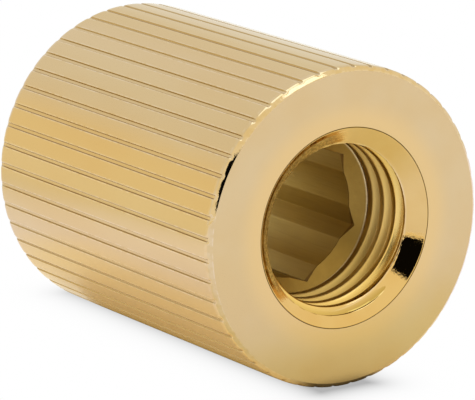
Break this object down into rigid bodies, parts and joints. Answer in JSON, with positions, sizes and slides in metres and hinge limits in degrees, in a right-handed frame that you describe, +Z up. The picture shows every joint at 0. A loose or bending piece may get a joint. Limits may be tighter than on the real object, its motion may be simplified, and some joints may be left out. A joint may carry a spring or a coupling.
{
  "type": "ribbed threaded sleeve",
  "caption": "Gold-plated ribbed cylindrical sleeve lying on its side, with a conical mouth, a short internal thread behind it and a deep hexagonal bore.",
  "frame": {"origin": "on the resting plane under the middle of the sleeve: centre of the bounding box's bottom face; the sleeve's axis is 12.5 mm above it", "axes": "+Y along the sleeve's axis, from the threaded mouth (at -Y) to the rear face; +Z up; the sleeve lies on one of its lands"},
  "size_m": [0.025, 0.0302, 0.025],
  "materials": {
    "sleeve_gold": "polished gold plate over turned brass, fine turning lines on the end face",
    "bush_gold": "bright gold plate, tool marks in the mouth cone",
    "core_gold": "gold plate over a broached bore, slightly duller"
  },
  "bodies": {
    "root": {"ribbed_outer_sleeve": "sleeve_gold", "threaded_mouth_bush": "bush_gold", "hex_bore_core": "core_gold"}
  },
  "joints": []
}
